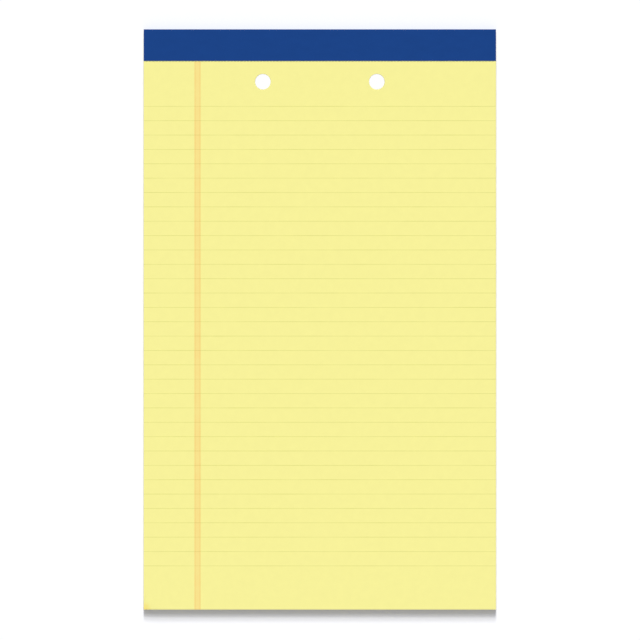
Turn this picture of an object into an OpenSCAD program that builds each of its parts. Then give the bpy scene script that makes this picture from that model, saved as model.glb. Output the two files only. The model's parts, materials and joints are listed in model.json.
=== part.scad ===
// Legal-size writing pad: a stitched block of ruled sheets on a chipboard back,
// with a coloured paper strip glued round the head, a perforated tear line
// and two holes punched for a file fastener.
// Millimetres. The pad lies on its back: +X right, +Y to the bound head, +Z up.
// The origin is under the middle of the pad, on the surface that it lies on.

/* [Pad] */
// Width of the trimmed pad, side to side
pad_w = 215.9; // [150:0.1:300]
// Length of the bound pad, head to foot
pad_l = 355.6; // [200:0.1:450]

/* [Sheets] */
// Number of sheets in the block
sheet_count = 50; // [20:1:100]
// Thickness of one sheet
sheet_t = 0.086; // [0.06:0.002:0.12]

/* [Backboard] */
// Thickness of the chipboard
board_t = 0.76; // [0.7:0.02:2]

/* [Binding strip] */
// Thickness of the binding paper
strip_t = 0.15; // [0.08:0.01:0.2]
// Height of the strip on the front, fold included
strip_front = 19.4; // [14:0.1:30]
// Height of the strip on the back, fold included
strip_back = 16; // [14:0.1:30]

/* [Tear line] */
// Distance from the strip down to the middle of the perforation
tear_gap = 0.3; // [0.2:0.05:3]
// Length of one perforation cut
perf_cut = 1.4; // [0.8:0.1:3]
// Uncut tie between two perforation cuts
perf_tie = 0.6; // [0.4:0.1:2]
// Width of a perforation cut
perf_w = 0.1; // [0.05:0.01:0.3]

/* [Punched holes] */
// Diameter of a punched hole
hole_d = 9.5; // [5:0.1:12]
// Distance between the centres of the two holes
hole_spacing = 69.85; // [50:0.05:110]
// Distance from the strip down to the hole centres
hole_drop = 12.7; // [8:0.1:20]

/* [Staples] */
// Number of staples along the head
staple_count = 3; // [2:1:5]
// Distance from a side edge to the middle of the nearest staple
staple_inset = 30; // [12:0.5:45]
// Distance from the head edge to the row of staples
staple_drop = 9; // [4:0.1:11]
// Outside width of a staple's crown
staple_crown = 12.7; // [10.5:0.1:16]
// Length of a clinched leg end, straight part
staple_clinch = 4; // [2:0.1:4]
// Diameter of the staple wire
wire_d = 0.5; // [0.4:0.02:0.54]
// Radius of the wire's bends, to the middle of the wire
wire_bend = 0.6; // [0.4:0.05:0.9]
// Room around the wire in the sheets and the board
wire_clear = 0.05; // [0.02:0.01:0.08]

/* [Printed lines] */
// Distance from the head edge to the first rule
rule_top = 47.2; // [40:0.1:80]
// Distance from one rule to the next
rule_pitch = 8.8; // [5:0.05:14]
// Least blank space left under the last rule
rule_foot = 25; // [10:0.5:60]
// Width of a rule
rule_w = 0.3; // [0.15:0.05:0.6]
// Distance from the left edge to the middle of the first margin line
margin_in = 31.5; // [15:0.1:60]
// Distance between the middles of the two margin lines
margin_gap = 3; // [1.5:0.1:4]
// Width of a margin line
margin_w = 0.8; // [0.2:0.05:1]
// Thickness of the ink film
ink_t = 0.01; // [0.005:0.005:0.04]

/* [Hidden] */
$fn = 64;

// How far a cut runs past the face that it leaves
overrun = 1;

// Heights, from the surface that the pad lies on
block_t = sheet_count * sheet_t;
top_z = board_t + block_t;

// Lengthwise places, from the middle of the pad
foot_y = -pad_l / 2;
head_y = pad_l / 2 - strip_t;
strip_front_y = pad_l / 2 - strip_front;
strip_back_y = pad_l / 2 - strip_back;
tear_y = strip_front_y - tear_gap;
hole_y = strip_front_y - hole_drop;
staple_y = pad_l / 2 - staple_drop;

// Perforation cuts, as many as fit between the two sides with a tie at each end
perf_pitch = perf_cut + perf_tie;
perf_count = floor((pad_w - perf_tie) / perf_pitch);

// Staple places and the centrelines of the wire
staple_step = (pad_w - 2 * staple_inset) / (staple_count - 1);
leg_x = (staple_crown - wire_d) / 2;
bend_x = leg_x - wire_bend;
bed_r = wire_d / 2 + wire_clear;
crown_z = top_z - bed_r;
clinch_z = strip_t + bed_r;

// Printed lines, as many rules as fit above the blank foot
rule_count = floor((pad_l - rule_top - rule_foot) / rule_pitch) + 1;
rule_top_y = pad_l / 2 - rule_top;
margin_x = -pad_w / 2 + margin_in;
margin_head_y = tear_y - perf_w / 2;

// A block as wide as the pad, between two lengthwise places and two heights
module full_width(y0, y1, z0, z1) {
    translate([-pad_w / 2, y0, z0])
        cube([pad_w, y1 - y0, z1 - z0]);
}

// The two punched holes, right through the pad
module punched_holes() {
    for (side = [-1, 1])
        translate([side * hole_spacing / 2, hole_y, -overrun])
            cylinder(d = hole_d, h = top_z + 2 * overrun);
}

// One row of perforation cuts, through every sheet
module tear_cuts() {
    for (i = [0 : perf_count - 1])
        translate([(i - (perf_count - 1) / 2) * perf_pitch - perf_cut / 2,
                   tear_y - perf_w / 2, board_t - overrun])
            cube([perf_cut, perf_w, block_t + 2 * overrun]);
}

// A straight length of staple wire that runs along +X
module wire_along_x(length) {
    rotate([0, 90, 0])
        cylinder(d = wire_d, h = length);
}

// A quarter bend of staple wire in the XZ plane, from +X round to +Z
module wire_elbow() {
    rotate([90, 0, 0])
        rotate_extrude(angle = 90)
            translate([wire_bend, 0])
                circle(d = wire_d);
}

// One leg with its bends and its clinched end, on the +X side
module staple_leg() {
    translate([bend_x, 0, crown_z - wire_bend])
        wire_elbow();
    translate([leg_x, 0, clinch_z + wire_bend])
        cylinder(d = wire_d, h = crown_z - clinch_z - 2 * wire_bend);
    translate([bend_x, 0, clinch_z + wire_bend])
        mirror([0, 0, 1])
            wire_elbow();
    translate([bend_x - staple_clinch, 0, clinch_z])
        wire_along_x(staple_clinch);
}

// One whole staple
module staple() {
    translate([-bend_x, 0, crown_z])
        wire_along_x(2 * bend_x);
    staple_leg();
    mirror([1, 0, 0])
        staple_leg();
}

// Side view of a staple's bed, with height along Y: a trench for the crown, a slot
// for each clinched end, and a deeper pocket round each bend of the wire
module bed_profile() {
    clinch = staple_clinch + wire_clear;
    translate([-bend_x, crown_z - bed_r])
        square([2 * bend_x, top_z + overrun - crown_z + bed_r]);
    for (side = [0, 1])
        mirror([side, 0]) {
            translate([bend_x, crown_z - wire_bend])
                square([wire_bend + bed_r, top_z + overrun - crown_z + wire_bend]);
            translate([bend_x, -overrun])
                square([wire_bend + bed_r, overrun + clinch_z + wire_bend]);
            translate([bend_x - clinch, -overrun])
                square([clinch, overrun + clinch_z + bed_r]);
        }
}

// The bed that a staple presses for itself in the sheets and the board
module staple_bed() {
    translate([0, bed_r, 0])
        rotate([90, 0, 0])
            linear_extrude(2 * bed_r)
                bed_profile();
    for (side = [-1, 1])
        translate([side * leg_x, 0, clinch_z])
            cylinder(r = bed_r, h = crown_z - clinch_z);
}

// Repeats its children at each staple's place
module at_staples() {
    for (i = [0 : staple_count - 1])
        translate([(i - (staple_count - 1) / 2) * staple_step, staple_y, 0])
            children();
}

// Chipboard back, pressed in at the head so that the strip lies flush with it
module backboard() {
    color("tan")
        difference() {
            full_width(foot_y, head_y, 0, board_t);
            full_width(strip_back_y, head_y + overrun, -overrun, strip_t);
            punched_holes();
            at_staples() staple_bed();
        }
}

// All the sheets, trimmed as one block
module sheet_block() {
    color("khaki")
        difference() {
            full_width(foot_y, head_y, board_t, top_z);
            punched_holes();
            tear_cuts();
            at_staples() staple_bed();
        }
}

// Wire staples that stitch the stubs of the sheets to the board
module staples() {
    color("silver")
        at_staples() staple();
}

// A fold of the strip round a square edge, in the quarter between +X and +Y
module strip_fold() {
    intersection() {
        circle(r = strip_t);
        square(strip_t);
    }
}

// The strip's section, drawn with the pad's length along X and its height along Y
module strip_section() {
    translate([strip_front_y, top_z])
        square([head_y - strip_front_y, strip_t]);
    translate([head_y, strip_t])
        square([strip_t, top_z - strip_t]);
    translate([strip_back_y, 0])
        square([head_y - strip_back_y, strip_t]);
    translate([head_y, top_z])
        strip_fold();
    translate([head_y, strip_t])
        mirror([0, 1])
            strip_fold();
}

// Coloured paper strip, wrapped round the head and trimmed with the pad
module binding_strip() {
    color("midnightblue")
        translate([-pad_w / 2, 0, 0])
            rotate([90, 0, 90])
                linear_extrude(pad_w)
                    strip_section();
}

// The two printed margin lines, from the tear line to the foot
module margin_bars() {
    for (i = [0, 1])
        translate([margin_x + i * margin_gap - margin_w / 2, foot_y, top_z])
            cube([margin_w, margin_head_y - foot_y, ink_t]);
}

// Margin lines of the top sheet
module margin_lines() {
    color("sandybrown")
        difference() {
            margin_bars();
            punched_holes();
        }
}

// The printed rules, from side to side
module rule_bars() {
    for (i = [0 : rule_count - 1])
        full_width(rule_top_y - i * rule_pitch - rule_w / 2,
                   rule_top_y - i * rule_pitch + rule_w / 2,
                   top_z, top_z + ink_t);
}

// Rules of the top sheet, broken where the margin lines cross them
module ruled_lines() {
    color("darkseagreen")
        difference() {
            rule_bars();
            margin_bars();
            punched_holes();
        }
}

// Pale tint between the two margin lines, broken where the rules cross it
module margin_tint() {
    color("moccasin")
        difference() {
            translate([margin_x + margin_w / 2, foot_y, top_z])
                cube([margin_gap - margin_w, margin_head_y - foot_y, ink_t]);
            rule_bars();
            punched_holes();
        }
}

backboard();
sheet_block();
staples();
binding_strip();
ruled_lines();
margin_lines();
margin_tint();
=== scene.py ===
# %% [markdown]
# # Dressing a legal writing pad
#
# A legal pad is fifty sheets of yellow ruled paper on a chipboard back. Wire staples stitch them
# through the head, and a blue paper strip is folded over the stitching. The solids of all these
# pieces are already built to their real size. This script loads them, sets up the camera and the
# light, and gives each piece the finish of its real material. The one shape that it makes anew is
# the block of sheets, because fifty cut edges never line up as well as the sides of one solid.

# %% Load the solids
import json
import math
import random

import bmesh
import bpy
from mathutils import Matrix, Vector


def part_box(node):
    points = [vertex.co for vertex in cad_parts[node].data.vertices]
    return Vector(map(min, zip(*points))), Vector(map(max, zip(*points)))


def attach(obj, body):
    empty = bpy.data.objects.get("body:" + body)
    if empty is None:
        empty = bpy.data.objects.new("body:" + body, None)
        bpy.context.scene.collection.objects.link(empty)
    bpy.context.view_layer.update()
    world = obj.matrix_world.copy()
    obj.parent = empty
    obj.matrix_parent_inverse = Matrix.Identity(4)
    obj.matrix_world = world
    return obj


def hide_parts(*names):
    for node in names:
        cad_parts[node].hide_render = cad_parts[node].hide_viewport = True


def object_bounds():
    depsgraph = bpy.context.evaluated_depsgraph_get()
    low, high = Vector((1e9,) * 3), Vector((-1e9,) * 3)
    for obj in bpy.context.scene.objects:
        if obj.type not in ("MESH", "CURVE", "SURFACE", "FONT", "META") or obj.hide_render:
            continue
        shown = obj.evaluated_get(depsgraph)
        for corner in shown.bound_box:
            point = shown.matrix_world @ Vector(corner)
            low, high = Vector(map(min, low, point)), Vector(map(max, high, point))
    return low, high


MM = 0.001

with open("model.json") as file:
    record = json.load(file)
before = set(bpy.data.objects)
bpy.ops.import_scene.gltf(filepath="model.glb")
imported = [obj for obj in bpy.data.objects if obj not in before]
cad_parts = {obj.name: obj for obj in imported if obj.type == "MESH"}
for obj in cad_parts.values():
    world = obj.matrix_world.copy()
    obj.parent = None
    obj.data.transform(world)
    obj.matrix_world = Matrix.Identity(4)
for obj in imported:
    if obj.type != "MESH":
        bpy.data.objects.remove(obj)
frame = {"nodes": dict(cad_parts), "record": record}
nodes = frame["nodes"]
cad_low, cad_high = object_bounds()
pad_size = cad_high - cad_low
scene = bpy.context.scene
print("pad, in mm:", [round(side / MM, 2) for side in pad_size])

# %% [markdown]
# ## The camera
#
# The photograph looks straight down on the pad, and the pad's edges stay parallel, so it was taken
# with a long lens from far away. A camera in Blender looks down by itself when it isn't turned. Its
# place follows from the pad's size in the picture: the scale at the written face gives the width
# of the view, and the lens then gives the height that shows just that width.

# %% Camera
PHOTO_PIXELS = 640
PAD_PIXELS = (351.7, 580.9)
PAD_MIDDLE_PIXEL = (319.85, 319.45)
LENS = 1500.0
SENSOR = 36.0

sheets_low, sheets_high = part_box("sheet_block")
face_z = sheets_high.z
pixel = (pad_size.x + pad_size.y) / sum(PAD_PIXELS)
camera = bpy.data.objects.new("camera", bpy.data.cameras.new("camera"))
camera.data.lens = LENS
camera.data.sensor_width = SENSOR
camera.location = (
    (PHOTO_PIXELS / 2 - PAD_MIDDLE_PIXEL[0]) * pixel,
    (PAD_MIDDLE_PIXEL[1] - PHOTO_PIXELS / 2) * pixel,
    face_z + PHOTO_PIXELS * pixel * LENS / SENSOR,
)
scene.collection.objects.link(camera)
scene.camera = camera
print("camera height, in m:", round(camera.location.z, 3), "one pixel, in mm:", round(pixel / MM, 4))

# %% [markdown]
# ## A pale sky
#
# The pad is lit evenly, as in a white tent, so the first light is a sky of one pale tone all round.
# A picture of a studio could stand there instead, but a plain tone favours no side, and that choice
# is left to the lamps. Blender's sky is the world, and the world is a tree of nodes. Two helpers
# serve every tree in this script: one links an input or sets it, and one adds a node and fills its
# inputs by name. The Standard view shows colours as they are written.


# %% Sky
SKY_SHARE = 0.31
PLAIN_WHITE = (1, 1, 1, 1)


def fill(tree, socket, value):
    """Links an input to another node's output, or sets it to a plain value."""
    if isinstance(value, bpy.types.NodeSocket):
        tree.links.new(value, socket)
    else:
        socket.default_value = value


def add_node(tree, kind, **inputs):
    """Adds a shader node. Each input is named with _ for a space, and takes a value or a link."""
    node = tree.nodes.new("ShaderNode" + kind)
    for name, value in inputs.items():
        fill(tree, node.inputs[name.replace("_", " ")], value)
    return node


scene.view_settings.view_transform = "Standard"
scene.world = bpy.data.worlds.new("studio")
scene.world.use_nodes = True
sky = scene.world.node_tree
sky.nodes.clear()
pale = add_node(sky, "Background", Color=PLAIN_WHITE, Strength=SKY_SHARE)
print("sky strength:", SKY_SHARE)

# %% [markdown]
# ## A white backdrop for the eye
#
# A sky bright enough to look white would flood the pad with light. The Light Path node tells which
# kind of ray is asking, so the eye is shown plain white while the pale tone still lights the pad.
# Gloss and clear surfaces look at their surroundings as the eye does, so they are shown white too.


# %% Backdrop
def calculate(tree, operation, first, second, kind="Math"):
    """One step of arithmetic on two numbers, or on two vectors when the kind is VectorMath."""
    node = tree.nodes.new("ShaderNode" + kind)
    node.operation = operation
    fill(tree, node.inputs[0], first)
    fill(tree, node.inputs[1], second)
    return next(socket for socket in node.outputs if socket.enabled)


def seen_directly(tree):
    """1 for what the eye, a gloss or a clear surface looks at, and 0 for what only sheds light."""
    rays = add_node(tree, "LightPath").outputs
    gloss = calculate(tree, "MAXIMUM", rays["Is Glossy Ray"], rays["Is Transmission Ray"])
    return calculate(tree, "MAXIMUM", rays["Is Camera Ray"], gloss)


def either(tree, share, first, second):
    """The first shader where share is 0, and the second where it is 1."""
    node = add_node(tree, "MixShader", Fac=share)
    fill(tree, node.inputs[1], first.outputs[0])
    fill(tree, node.inputs[2], second.outputs[0])
    return node


white = add_node(sky, "Background", Color=PLAIN_WHITE, Strength=1.0)
surroundings = either(sky, seen_directly(sky), pale, white)
add_node(sky, "OutputWorld", Surface=surroundings.outputs["Shader"])
print("nodes in the world:", len(sky.nodes))

# %% [markdown]
# ## A strip light
#
# The one clear shadow lies along the foot. It is darkest at the pad and fades out evenly over eight
# millimetres, which tells of a tall light: close to the foot the pad hides all of it, and further
# out more and more of it shows over the edge. A photographer would stand a strip light upright
# beyond the head. A lamp so near shines more on the head than on the foot, though, and a sun lamp
# shines the same everywhere, so three narrow suns, one above the other, stand in for the strip. Sky
# and suns add up to one on a level surface, so a colour looks in the picture as it is written here.

# %% Strip light
SUN_HEIGHTS = (34.5, 47, 60)
SUN_SHARES = (0.24, 0.31, 0.14)
SUN_WIDTH = math.radians(12)

for degrees, share in zip(SUN_HEIGHTS, SUN_SHARES):
    height = math.radians(degrees)
    sun = bpy.data.objects.new("sun", bpy.data.lights.new("sun", "SUN"))
    sun.data.energy = math.pi * share / math.sin(height)
    sun.data.angle = SUN_WIDTH
    sun.rotation_euler.x = height - math.pi / 2
    scene.collection.objects.link(sun)
print("sky and suns together:", round(SKY_SHARE + sum(SUN_SHARES), 3))

# %% [markdown]
# ## The table
#
# The pad lies on a white table. One large square is enough for it, a hair under the board, because
# two surfaces at the same height would flicker through each other. The square is drawn in a bmesh,
# Blender's own workbench for meshes, and a helper turns that into an object, here and for the pieces
# that follow.


# %% Table top
FLOOR_REACH = 8.0
FLOOR_DROP = 0.02 * MM


def object_from(mesh, name):
    """Turns a bmesh into an object of the scene."""
    data = bpy.data.meshes.new(name)
    mesh.normal_update()
    mesh.to_mesh(data)
    mesh.free()
    made = bpy.data.objects.new(name, data)
    scene.collection.objects.link(made)
    return made


square = bmesh.new()
bmesh.ops.create_grid(square, x_segments=1, y_segments=1, size=FLOOR_REACH)
floor = object_from(square, "floor")
floor.location.z = cad_low.z - FLOOR_DROP
print("table, in m:", [round(side, 1) for side in floor.dimensions[:2]])

# %% [markdown]
# ## White paint for the table
#
# A table that only reflects never looks quite white, and more light would bleach the pad. So for
# the eye the table also glows a little, which leaves the shadow at the foot where it is. The glow is
# slightly blue, to make up for the yellow light that the edges of the sheets throw into the shadow.


# %% Table paint
FLOOR_WHITE = (0.93, 0.93, 0.93, 1)
FLOOR_GLOW = (0.085, 0.09, 0.13, 1)


def blank_material(name):
    """A new material with an empty tree."""
    material = bpy.data.materials.new(name)
    material.use_nodes = True
    material.node_tree.nodes.clear()
    return material


floor.data.materials.append(blank_material("white_table"))
table = floor.data.materials[0].node_tree
table_seen = seen_directly(table)
paint = add_node(table, "BsdfDiffuse", Color=FLOOR_WHITE)
glow = add_node(table, "Emission", Color=FLOOR_GLOW, Strength=table_seen)
painted = add_node(table, "AddShader")
fill(table, painted.inputs[0], paint.outputs["BSDF"])
fill(table, painted.inputs[1], glow.outputs["Emission"])
print("nodes in the paint:", len(table.nodes))

# %% [markdown]
# ## White under the holes
#
# Two holes are punched through the pad for a file fastener, and the picture shows clean white in
# them, with no shade. The table is too near for that: the pad's own shadow falls in the holes. So
# under each one the table gets a white spot that glows for the eye: painted light that covers the
# pad's shadow there. The part's record says where the holes are and how wide.

# %% Glowing spots on the table
SPOT_SPARE = 0.5 * MM

punches = [mount for mount in frame["record"]["mounts"] if mount["kind"] == "bore"]
punch_r = punches[0]["dims"]["r_mm"] * MM
table_place = add_node(table, "TexCoord").outputs["Object"]
nearest = FLOOR_REACH
for punch in punches:
    x, y, _ = punch["pos_m"]
    away = calculate(table, "DISTANCE", table_place, (x, y, 0), kind="VectorMath")
    nearest = calculate(table, "MINIMUM", nearest, away)
under_hole = calculate(table, "LESS_THAN", nearest, punch_r + SPOT_SPARE)
# Painted light: the spot glows white for the eye and covers the pad's shadow in the holes.
painted_light_spot = add_node(table, "Emission", Color=PLAIN_WHITE, Strength=1.0)
shadow_covered_by_light = either(table, calculate(table, "MULTIPLY", under_hole, table_seen), painted, painted_light_spot)
add_node(table, "OutputMaterial", Surface=shadow_covered_by_light.outputs["Shader"])
# Glowing spots of painted light, one under each hole.
print("spots under", len(punches), "holes of", round(2 * punch_r / MM, 2), "mm")

# %% [markdown]
# ## Fifty outlines
#
# The solid block has the right outline, holes, perforation and staple beds, but its sides are
# planes. On the real pad every sheet stands back by a few hundredths of a millimetre more or less
# than its neighbours. Fifty thin boxes would show that, with many faces that nobody sees. Instead,
# fifty slightly different outlines are stacked here, and they trim a copy of the solid later. The
# top one lies just outside the block, so that the top sheet keeps its full width: its printed rules
# run right to the edge. The random numbers start from a fixed seed, so the pad comes out the same
# each time.


# %% Outlines of the sheets
SHEETS = 50
TRIM_PLAY = 0.05 * MM
LEAST_PLAY = 0.1
TOP_SPARE = 0.01 * MM

chance = random.Random(14)
sheet_t = (sheets_high.z - sheets_low.z) / SHEETS
leaf_levels = [sheets_low.z + i * sheet_t for i in range(SHEETS + 1)]


def leaf_outline(play):
    """A sheet's rectangle, standing back by up to this play at the left, foot, right and head."""
    left, foot, right, head = (chance.uniform(LEAST_PLAY, 1) * play for _ in range(4))
    x0, x1 = sheets_low.x + left, sheets_high.x - right
    y0, y1 = sheets_low.y + foot, sheets_high.y - head
    return [(x0, y0), (x1, y0), (x1, y1), (x0, y1)]


def at_height(outline, z):
    """An outline's points at one level."""
    return [(x, y, z) for x, y in outline]


leaf_rings = []
plays = [TRIM_PLAY] * (SHEETS - 1) + [-TOP_SPARE]
for play, bottom, top in zip(plays, leaf_levels, leaf_levels[1:]):
    outline = leaf_outline(play)
    leaf_rings += [at_height(outline, bottom), at_height(outline, top)]
print("one sheet, in mm:", round(sheet_t / MM, 4), "rings of corners:", len(leaf_rings))

# %% [markdown]
# ## Trimming the block
#
# The stack of outlines becomes a tower: a wall of faces from each ring to the next, and a lid at
# both ends. It runs past the block, because a boolean does its best work where no two faces lie in
# one plane. The boolean then keeps what the tower and the block share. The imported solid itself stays
# as it is, so the block is a copy of it, welded first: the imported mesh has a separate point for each
# face at a corner, and a boolean needs one closed skin.


# %% Trim the block
OVERRUN = 1 * MM
WELD = 0.001 * MM


def tower(name, rings):
    """A closed mesh through rings of points, from low to high, that runs past both ends."""
    lowest = [(x, y, z - OVERRUN) for x, y, z in rings[0]]
    highest = [(x, y, z + OVERRUN) for x, y, z in rings[-1]]
    mesh = bmesh.new()
    loops = [[mesh.verts.new(point) for point in ring] for ring in [lowest, *rings[1:-1], highest]]
    for lower, upper in zip(loops, loops[1:]):
        for i, corner in enumerate(lower):
            after = (i + 1) % len(lower)
            mesh.faces.new((corner, lower[after], upper[after], upper[i]))
    mesh.faces.new(loops[0][::-1])
    mesh.faces.new(loops[-1])
    return object_from(mesh, name)


def carve(target, tool, operation):
    """Applies one boolean to the target and removes the tool."""
    cut = target.modifiers.new(operation, "BOOLEAN")
    cut.operation = operation
    cut.solver = "EXACT"
    cut.object = tool
    shape = target.evaluated_get(bpy.context.evaluated_depsgraph_get())
    carved = bpy.data.meshes.new_from_object(shape)
    target.modifiers.clear()
    target.data = carved
    bpy.data.objects.remove(tool)


block = bmesh.new()
block.from_mesh(nodes["sheet_block"].data)
bmesh.ops.remove_doubles(block, verts=block.verts, dist=WELD)
sheets = object_from(block, "sheets")
carve(sheets, tower("trimmed_leaves", leaf_rings), "INTERSECT")
print("faces after trimming:", len(sheets.data.polygons))

# %% [markdown]
# ## Reaming the holes
#
# In the punched holes, too, each sheet stands back a little more or less, and the punch has rolled
# the top sheets over at the rim. So a second kind of tower is cut away: a stack of slightly
# different circles, one for each sheet, which flares at the top in a quarter of an arc.


# %% Ream the holes
HOLE_PLAY = 0.04 * MM
HOLE_SIDES = 96
RIM_ROLL = 0.09 * MM
RIM_STEPS = 4


def circle(middle, radius):
    """Points round a punched hole."""
    turns = [math.tau * i / HOLE_SIDES for i in range(HOLE_SIDES)]
    return [(middle[0] + radius * math.cos(t), middle[1] + radius * math.sin(t)) for t in turns]


def hole_rings(middle):
    """The circles in one hole, from the board up to the rolled rim."""
    rim_z = face_z - RIM_ROLL
    rings = []
    for bottom, top in zip(leaf_levels, leaf_levels[1:]):
        if top > rim_z:
            break
        outline = circle(middle, punch_r + chance.uniform(LEAST_PLAY, 1) * HOLE_PLAY)
        rings += [at_height(outline, bottom), at_height(outline, top)]
    for step in range(RIM_STEPS + 1):
        turn = 0.5 * math.pi * step / RIM_STEPS
        radius = punch_r + HOLE_PLAY + RIM_ROLL * (1 - math.cos(turn))
        rings.append(at_height(circle(middle, radius), rim_z + RIM_ROLL * math.sin(turn)))
    return rings + rings[-1:]


for punch in punches:
    carve(sheets, tower("reamed_hole", hole_rings(punch["pos_m"])), "DIFFERENCE")
print("faces after reaming:", len(sheets.data.polygons))

# %% [markdown]
# ## A knocked corner
#
# The corner of the pad at the foot, on the left, has had a knock: its last few millimetres are
# pressed down and look darker. A bump in the finish would not show from the side, so the mesh itself
# is bent. A bend needs edges to bend along: a few slanting planes cut the mesh near that corner. The
# points beyond the first plane then sink, most at the tip and in the top sheets, and not at all down
# at the board. Before that, a clean-up dissolves the slivers that the booleans have left behind.


# %% Knocked corner
KNOCK_REACH = 9 * MM
KNOCK_DEPTH = 0.4 * MM
KNOCK_CUTS = 9


def score_corner(mesh):
    """Cuts the mesh along slanting planes across the corner."""
    for i in range(1, KNOCK_CUTS + 1):
        inset = KNOCK_REACH * i / KNOCK_CUTS
        bmesh.ops.bisect_plane(
            mesh,
            geom=mesh.verts[:] + mesh.edges[:] + mesh.faces[:],
            dist=WELD,
            plane_co=(sheets_low.x + inset, sheets_low.y, 0),
            plane_no=(1, 1, 0),
        )


def sink_corner(mesh):
    """Presses the points near the corner down."""
    for vertex in mesh.verts:
        inset = (vertex.co.x - sheets_low.x) + (vertex.co.y - sheets_low.y)
        near = max(0.0, 1 - inset / KNOCK_REACH)
        share = (vertex.co.z - sheets_low.z) / (sheets_high.z - sheets_low.z)
        vertex.co.z -= KNOCK_DEPTH * near * near * share


knocked = bmesh.new()
knocked.from_mesh(sheets.data)
bmesh.ops.dissolve_degenerate(knocked, dist=WELD, edges=knocked.edges)
score_corner(knocked)
sink_corner(knocked)
knocked.to_mesh(sheets.data)
knocked.free()
print("faces after the knock:", len(sheets.data.polygons))

# %% [markdown]
# ## A finish to start from
#
# The sheets are uncoated yellow bond, which is matt and has next to no gloss. Blender's Principled
# shader covers paper, board and metal alike, so one helper starts every finish with it. Roughness is
# how dull a surface is, and the specular level is how much it mirrors before that.


# %% Writing paper
def principled(name, roughness, gloss):
    """A new finish: the material, its node tree and its shader."""
    material = blank_material(name)
    tree = material.node_tree
    shader = add_node(tree, "BsdfPrincipled", Roughness=roughness, Specular_IOR_Level=gloss)
    add_node(tree, "OutputMaterial", Surface=shader.outputs["BSDF"])
    return material, tree, shader


face_paper, face_tree, face_shader = principled("sheet_face_paper", roughness=0.9, gloss=0.2)
print("started:", face_paper.name)

# %% [markdown]
# ## Clouds and fibres
#
# Held to the light, bond paper is cloudy, because the pulp never settles evenly, and under a lens it
# is a felt of fibres. Neither repeats, so a noise pattern suits both better than any tile. The
# helper takes the size of the patches in millimetres, and can draw them out along one axis as
# fibres are. Two more helpers stretch a pattern to a range and turn it into lighter and darker tones.


# %% Clouds and fibres
PAPER_YELLOW = (0.935, 0.885, 0.32, 1)
CLOUD = (5 * MM, 5 * MM, 5 * MM)
BOND_FIBRE = (0.15 * MM, 0.6 * MM, 0.3 * MM)


def grain(tree, patch, detail):
    """A wandering pattern from 0 to 1, with patches of about this size along X, Y and Z."""
    place = add_node(tree, "TexCoord").outputs["Object"]
    scaled = add_node(tree, "Mapping", Vector=place, Scale=[1 / side for side in patch])
    pattern = add_node(tree, "TexNoise", Vector=scaled.outputs["Vector"], Scale=1.0, Detail=detail)
    return pattern.outputs["Fac"]


def spread(tree, pattern, low, high):
    """The middle half of a pattern, stretched to run from low to high."""
    node = add_node(
        tree, "MapRange", Value=pattern, From_Min=0.25, From_Max=0.75, To_Min=low, To_Max=high
    )
    return node.outputs["Result"]


def shaded(tree, colour, pattern, amount):
    """A colour that the pattern makes lighter and darker by up to this share."""
    value = spread(tree, pattern, low=1 - amount, high=1 + amount)
    return add_node(tree, "HueSaturation", Color=colour, Value=value).outputs["Color"]


bond_fibres = grain(face_tree, BOND_FIBRE, detail=3)
cloudy = shaded(face_tree, PAPER_YELLOW, grain(face_tree, CLOUD, detail=4), amount=0.012)
print("clouds and fibres, in mm across:", round(CLOUD[0] / MM, 2), round(BOND_FIBRE[0] / MM, 2))

# %% [markdown]
# ## Painted shade at the knocked corner
#
# The paper at the knocked corner is painted a darker, warmer orange, as painted shade of its bent-down
# tip. The painted shade fades with the distance from the corner's tip, so it needs no drawing: the
# distance drives a mix of two colours. The fibres go over the mix, since they lie in the paper and not
# under the painted shade.


# %% Painted corner shade
# Painted shade: a darker orange laid on the paper at the knocked corner, standing in for the shade of
# its bent tip.
CORNER_SHADE_ORANGE = (0.97, 0.79, 0.2, 1)
CORNER_SHADE_STRENGTH = 0.8
CORNER_SHADE_FULL = 2 * MM
CORNER_SHADE_END = 5 * MM


def mixed(tree, share, first, second):
    """A mix of two colours: the first where share is 0, the second where it is 1."""
    node = tree.nodes.new("ShaderNodeMix")
    node.data_type = "RGBA"
    for name, value in (("Factor_Float", share), ("A_Color", first), ("B_Color", second)):
        fill(tree, next(s for s in node.inputs if s.identifier == name), value)
    return next(s for s in node.outputs if s.identifier == "Result_Color")


face_place = add_node(face_tree, "TexCoord").outputs["Object"]
corner_tip = (sheets_low.x, sheets_low.y, face_z)
from_tip = calculate(face_tree, "DISTANCE", face_place, corner_tip, kind="VectorMath")
# The share of painted shade, full near the corner's tip and gone further out.
corner_shade = add_node(
    face_tree,
    "MapRange",
    Value=from_tip,
    From_Min=CORNER_SHADE_FULL,
    From_Max=CORNER_SHADE_END,
    To_Min=CORNER_SHADE_STRENGTH,
    To_Max=0.0,
)
corner_shaded = mixed(face_tree, corner_shade.outputs["Result"], cloudy, CORNER_SHADE_ORANGE)
fill(face_tree, face_shader.inputs["Base Color"], shaded(face_tree, corner_shaded, bond_fibres, amount=0.02))
# The painted shade at the corner ends this far from the tip.
print("thumb mark ends", round(CORNER_SHADE_END / MM, 1), "mm from the tip")

# %% [markdown]
# ## The tooth of the paper
#
# A pen grips bond paper because its fibres stand up a little. That is far too fine to model, so the
# same pattern of fibres also tilts the surface through a Bump node, by hundredths of a millimetre,
# and makes it duller or shinier. Sharing the pattern keeps colour, dullness and tilt in step.


# %% Paper tooth
def roughen(tree, shader, height, depth, strength):
    """Raises the surface by a pattern: depth is the height of its hills."""
    bump = add_node(tree, "Bump", Height=height, Distance=depth, Strength=strength)
    fill(tree, shader.inputs["Normal"], bump.outputs["Normal"])


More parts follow.
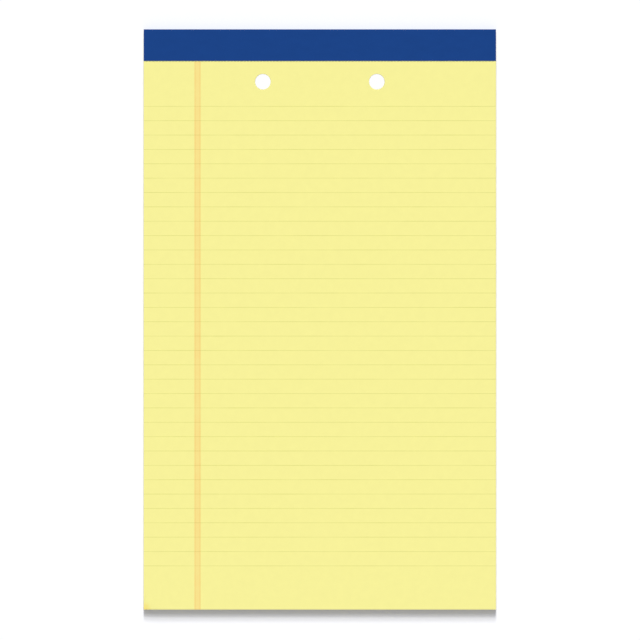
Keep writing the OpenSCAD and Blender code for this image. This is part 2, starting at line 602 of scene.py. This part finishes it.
fill(face_tree, face_shader.inputs["Roughness"], spread(face_tree, bond_fibres, low=0.84, high=0.96))
roughen(face_tree, face_shader, bond_fibres, depth=0.02 * MM, strength=0.35)
print("nodes in the writing paper:", len(face_tree.nodes))

# %% [markdown]
# ## Cut edges
#
# The guillotine trims the whole pad at once, and the cut edges are duller than the faces. Their
# colour is painted darker than the faces', as painted shade of the narrow gaps between the sheets.
# Each sheet's edge has its own tone. Thicker bands of sheets, cut together, differ a little in tone
# and catch the light together, and that light is painted in too: painted light and shade, lighter
# and darker by band. The blade leaves fine upright streaks. So three patterns are laid over each
# other: two flat ones, as thin as a sheet and as thick as a few, and one that is tall and narrow.


# %% Cut edges
# Painted shade: the cut edges' yellow is darker than the faces', standing in for the shade in the gaps
# between sheets.
SHADED_EDGE_YELLOW = (0.8, 0.735, 0.25, 1)


def sheet_edge_paper():
    """The cut edges of the stacked sheets, with painted shade between them and painted light on their
    bands.
    """
    material, tree, shader = principled("sheet_edge_paper", roughness=0.95, gloss=0.15)
    # Bands of sheets differ a little in tone, and are painted lighter and darker as painted light and
    # shade of their ledges.
    lift_tone_and_light = grain(tree, (90 * MM, 90 * MM, 9 * sheet_t), detail=2)
    leaves = grain(tree, (60 * MM, 60 * MM, 1.3 * sheet_t), detail=1)
    streaks = grain(tree, (0.8 * MM, 0.8 * MM, 30 * MM), detail=2)
    lift_toned_and_lit = shaded(tree, SHADED_EDGE_YELLOW, lift_tone_and_light, amount=0.08)
    layered = shaded(tree, lift_toned_and_lit, leaves, amount=0.14)
    fill(tree, shader.inputs["Base Color"], shaded(tree, layered, streaks, amount=0.05))
    fill(tree, shader.inputs["Roughness"], spread(tree, leaves, low=0.88, high=1.0))
    roughen(tree, shader, streaks, depth=0.03 * MM, strength=0.4)
    return material


edge_paper = sheet_edge_paper()
print("nodes in the edge paper:", len(edge_paper.node_tree.nodes))

# %% [markdown]
# ## Dressing the sheets
#
# One mesh can carry both finishes: each face holds the number of its material. What lies flat is
# writing paper, and what stands up was cut. The sheets then ride on the pad's one body and take the
# place of the solid block, which stays behind for the physics.

# %% Dress the sheets
LYING_FLAT = 0.5

sheets.data.materials.clear()
sheets.data.materials.append(face_paper)
sheets.data.materials.append(edge_paper)
for polygon in sheets.data.polygons:
    polygon.material_index = 0 if abs(polygon.normal.z) > LYING_FLAT else 1
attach(sheets, "root")
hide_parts("sheet_block")
print("cut faces:", sum(polygon.material_index for polygon in sheets.data.polygons))

# %% [markdown]
# ## Printed lines
#
# The rules, the double margin line and the pale tint between its lines are ink that has sunk into
# the paper. Their solids are films too thin to see from the side, so they keep their shape and only
# need colour. Ink on uncoated paper is never even: a line fades for a stretch and comes back, and
# where it is pale the yellow shows through in specks. So one wide pattern sets how much ink is
# missing, and a fine one breaks that up. The rules are uneven, and the margin is printed better.


# %% Inks
RULE_INK = (0.705, 0.691, 0.2, 1)
MARGIN_INK = (0.925, 0.675, 0.218, 1)
TINT_INK = (0.951, 0.742, 0.252, 1)
SPECK = (0.12 * MM, 0.12 * MM, 0.12 * MM)
STRETCH = (22 * MM, 7 * MM, 9 * MM)


def dress(name, material):
    """Gives a solid its finish."""
    slots = nodes[name].data.materials
    slots.clear()
    slots.append(material)
    print(name, "wears", material.name)


def line_ink(name, ink, fade):
    """Thin ink on yellow paper: fade is the share that is missing in the palest stretches."""
    material, tree, shader = principled(name, roughness=0.88, gloss=0.2)
    specks = grain(tree, SPECK, detail=2)
    stretches = grain(tree, STRETCH, detail=2)
    faded = spread(tree, stretches, low=0.0, high=fade)
    bare = calculate(tree, "MULTIPLY", spread(tree, specks, low=0.4, high=1.0), faded)
    fill(tree, shader.inputs["Base Color"], mixed(tree, bare, ink, PAPER_YELLOW))
    fill(tree, shader.inputs["Roughness"], spread(tree, specks, low=0.82, high=0.94))
    roughen(tree, shader, specks, depth=0.01 * MM, strength=0.3)
    return material


dress("ruled_lines", line_ink("printed_rules", RULE_INK, fade=0.9))
dress("margin_lines", line_ink("printed_margin", MARGIN_INK, fade=0.4))
dress("margin_tint", line_ink("printed_tint", TINT_INK, fade=0.4))

# %% [markdown]
# ## Two inks over each other
#
# The rules and the margin are printed one after the other, and both inks are thin, so where they
# cross, the paper shows both and looks darker. Two solids can't lie in one place, so each rule breaks
# the tint and stops at the two margin lines. The finishes put the missing ink back. First the rules
# get the tint's tone where they run between the margin lines. An ink's tone is its colour against
# the bare paper, and it multiplies the colour that is already there.


# %% Rules over the tint
tint_low, tint_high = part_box("margin_tint")


def ink_tree(name):
    """The node tree of a printed solid's finish, and a point's place on the pad in it."""
    tree = nodes[name].data.materials[0].node_tree
    place = add_node(tree, "TexCoord").outputs["Object"]
    return tree, add_node(tree, "SeparateXYZ", Vector=place).outputs


def between(tree, value, low, high):
    """1 where a value lies between two others, and 0 elsewhere."""
    above = calculate(tree, "GREATER_THAN", value, low)
    return calculate(tree, "MULTIPLY", above, calculate(tree, "LESS_THAN", value, high))


def overprint(tree, share, ink):
    """Prints a second ink over a finish, as strongly as the share says."""
    tone = [second / paper for second, paper in zip(ink, PAPER_YELLOW)]
    printed = mixed(tree, share, PLAIN_WHITE, tone)
    colour = tree.nodes["Principled BSDF"].inputs["Base Color"]
    first = colour.links[0].from_socket
    fill(tree, colour, calculate(tree, "MULTIPLY", first, printed, kind="VectorMath"))


rule_tree, rule_place = ink_tree("ruled_lines")
overprint(rule_tree, between(rule_tree, rule_place["X"], tint_low.x, tint_high.x), TINT_INK)
print("the rules take the tint for", round((tint_high.x - tint_low.x) / MM, 2), "mm")

# %% [markdown]
# ## Rules over the margin lines
#
# The margin lines run on without a break where a rule meets them, so their finish has to know where
# the rules are. The solid of the rules tells: all its points lie on the lower or the upper edge of
# a rule, so their places along the sheet, sorted, give every edge. The rules are evenly spaced, and
# the PingPong operation, which runs up and down between 0 and half a space, gives a point's distance
# from the nearest one. They are faded nearly everywhere, so their tone isn't put on at full strength.

# %% Rules over the margin lines
CROSSING_STRENGTH = 0.7

rule_edges = sorted({round(vertex.co.y, 6) for vertex in nodes["ruled_lines"].data.vertices})
rules = len(rule_edges) // 2
rule_width = rule_edges[1] - rule_edges[0]
rule_pitch = (rule_edges[-2] - rule_edges[0]) / (rules - 1)

margin_tree, margin_place = ink_tree("margin_lines")
from_lowest = calculate(margin_tree, "SUBTRACT", margin_place["Y"], rule_edges[0] + rule_width / 2)
from_nearest = calculate(margin_tree, "PINGPONG", from_lowest, rule_pitch / 2)
on_rule = calculate(margin_tree, "LESS_THAN", from_nearest, rule_width / 2)
in_ruling = between(margin_tree, margin_place["Y"], rule_edges[0], rule_edges[-1])
crossed = calculate(margin_tree, "MULTIPLY", on_rule, in_ruling)
overprint(margin_tree, calculate(margin_tree, "MULTIPLY", crossed, CROSSING_STRENGTH), RULE_INK)
print(rules, "rules cross the margin lines,", round(rule_pitch / MM, 3), "mm apart")

# %% [markdown]
# ## The binding strip
#
# The strip is paper printed solid blue, with a satin finish and a faint grain along its length.
# Where the guillotine cut it, at the sides and along its two free edges, the pale core of the paper
# shows. Those faces could get a material of their own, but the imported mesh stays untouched, so the
# finish finds them by where they point: to the left, to the right, or to the foot.


# %% Binding paper
BINDING_BLUE = (0.0099, 0.0548, 0.2385, 1)
BINDING_CORE = (0.42, 0.5, 0.62, 1)
SQUARELY = 0.7


def cut_faces(tree):
    """1 on the faces that the guillotine left: those to the sides and to the foot."""
    facing = add_node(tree, "NewGeometry").outputs["Normal"]
    axes = add_node(tree, "SeparateXYZ", Vector=facing).outputs
    sideways = calculate(tree, "MULTIPLY", axes["X"], axes["X"])
    footward = calculate(tree, "MULTIPLY", axes["Y"], -1.0)
    facing_out = calculate(tree, "MAXIMUM", sideways, footward)
    return calculate(tree, "GREATER_THAN", facing_out, SQUARELY)


def binding_paper():
    """Blue printed paper with a pale cut edge."""
    material, tree, shader = principled("blue_binding_paper", roughness=0.68, gloss=0.04)
    clouds = grain(tree, (9 * MM, 4 * MM, 4 * MM), detail=3)
    fibres = grain(tree, (0.5 * MM, 0.16 * MM, 0.3 * MM), detail=3)
    printed = shaded(tree, shaded(tree, BINDING_BLUE, clouds, amount=0.03), fibres, amount=0.06)
    fill(tree, shader.inputs["Base Color"], mixed(tree, cut_faces(tree), printed, BINDING_CORE))
    fill(tree, shader.inputs["Roughness"], spread(tree, fibres, low=0.62, high=0.74))
    roughen(tree, shader, fibres, depth=0.02 * MM, strength=0.25)
    return material


dress("binding_strip", binding_paper())

# %% [markdown]
# ## The chipboard back
#
# The back is chipboard, pressed from waste paper: a dull grey brown with short fibres that lie
# mostly one way, dark flecks of old print and a few pale shreds. The flecks come from a Voronoi
# pattern, which fills space with cells, by keeping only the spot round each cell's middle. Some
# noise shifts the cells first, or the spots would be round and look like dots of paint.


# %% Chipboard
BOARD_BROWN = (0.3, 0.225, 0.15, 1)
FLECK_DARK = (0.09, 0.07, 0.055, 1)
FLECK_PALE = (0.55, 0.47, 0.36, 1)


def flecks(tree, apart, size):
    """1 inside small scattered spots: apart is their usual distance, size their share of it."""
    place = add_node(tree, "TexCoord").outputs["Object"]
    wander = add_node(tree, "TexNoise", Vector=place, Scale=2 / apart, Detail=2.0)
    shift = calculate(tree, "MULTIPLY", wander.outputs["Color"], [0.5 * apart] * 3, kind="VectorMath")
    moved = calculate(tree, "ADD", place, shift, kind="VectorMath")
    cells = add_node(tree, "TexVoronoi", Vector=moved, Scale=1 / apart)
    return calculate(tree, "LESS_THAN", cells.outputs["Distance"], size)


def chipboard():
    """Grey brown pulp board with fibres and flecks."""
    material, tree, shader = principled("pulp_chipboard", roughness=0.93, gloss=0.15)
    clouds = grain(tree, (14 * MM, 20 * MM, 14 * MM), detail=4)
    fibres = grain(tree, (0.25 * MM, 1.2 * MM, 0.25 * MM), detail=4)
    pulp = shaded(tree, shaded(tree, BOARD_BROWN, clouds, amount=0.1), fibres, amount=0.22)
    printed = mixed(tree, flecks(tree, apart=2.6 * MM, size=0.13), pulp, FLECK_DARK)
    shredded = mixed(tree, flecks(tree, apart=4.1 * MM, size=0.1), printed, FLECK_PALE)
    fill(tree, shader.inputs["Base Color"], shredded)
    fill(tree, shader.inputs["Roughness"], spread(tree, fibres, low=0.86, high=1.0))
    roughen(tree, shader, fibres, depth=0.05 * MM, strength=0.5)
    return material


dress("backboard", chipboard())

# %% [markdown]
# ## The staples
#
# The stitching wire is drawn steel with a thin coat of zinc: bright, with a dull bloom, and with fine
# marks along its length from the die. The strip covers the staples, so they only show when the pad
# is taken apart, but they get the same care. A metal has its colour in its gloss, so the shader is
# set to metallic and the marks go into its roughness and its bump.


# %% Staple wire
WIRE_GREY = (0.6, 0.6, 0.62, 1)


def staple_wire():
    """Zinc-coated steel wire."""
    material, tree, shader = principled("zinc_wire", roughness=0.35, gloss=0.5)
    shader.inputs["Metallic"].default_value = 1.0
    marks = grain(tree, (1.5 * MM, 0.08 * MM, 0.08 * MM), detail=2)
    bloom = grain(tree, (0.7 * MM, 0.7 * MM, 0.7 * MM), detail=3)
    fill(tree, shader.inputs["Base Color"], shaded(tree, WIRE_GREY, bloom, amount=0.12))
    fill(tree, shader.inputs["Roughness"], spread(tree, marks, low=0.26, high=0.46))
    roughen(tree, shader, marks, depth=0.005 * MM, strength=0.3)
    return material


dress("staples", staple_wire())
